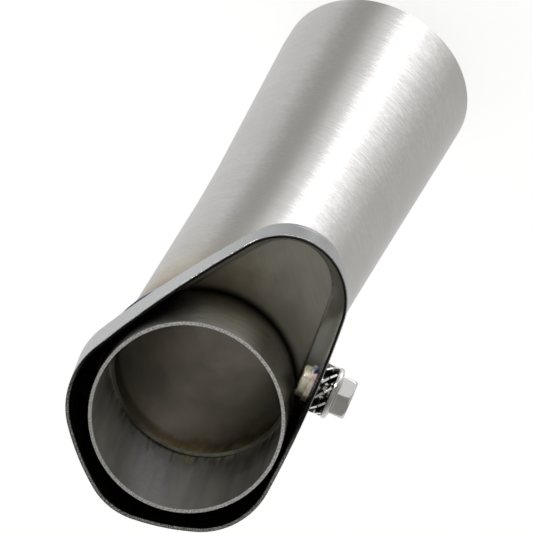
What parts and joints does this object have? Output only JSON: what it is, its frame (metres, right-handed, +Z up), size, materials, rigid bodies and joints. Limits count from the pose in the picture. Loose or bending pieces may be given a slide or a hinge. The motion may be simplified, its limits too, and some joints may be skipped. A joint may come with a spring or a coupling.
{
  "type": "exhaust baffle insert",
  "caption": "Stainless silencer insert: a bent round tube through a plate in a rounded triangular collar, fixed by a side flange bolt into a weld nut.",
  "frame": {"origin": "centre of the inlet end of the main tube, in the plane of its cut face", "axes": "+Z up along the main tube from the inlet end; the outlet leans towards +X; the fixing bolt is on the -Y side"},
  "size_m": [0.0856, 0.0623, 0.1904],
  "materials": {
    "tube_steel": "brushed round the tube, satin",
    "outlet_steel": "satin, darker, rough cut rim",
    "collar_steel": "smooth satin sheet",
    "plate_steel": "brushed sheet",
    "weld_bead": "weld bead with heat tint",
    "nut_steel": "satin with straw heat tint",
    "nut_weld_bead": "weld bead with blue heat tint",
    "washer_steel": "bright satin spring steel",
    "bolt_steel": "bright satin"
  },
  "bodies": {
    "root": {"main_tube": "tube_steel", "outlet_tube": "outlet_steel", "joint_weld": "weld_bead", "collar": "collar_steel", "back_plate": "plate_steel", "seam_weld": "weld_bead", "plate_weld": "weld_bead", "weld_nut": "nut_steel", "nut_weld": "nut_weld_bead", "lock_washer_1": "washer_steel", "lock_washer_2": "washer_steel", "flange_bolt": "bolt_steel"}
  },
  "joints": []
}
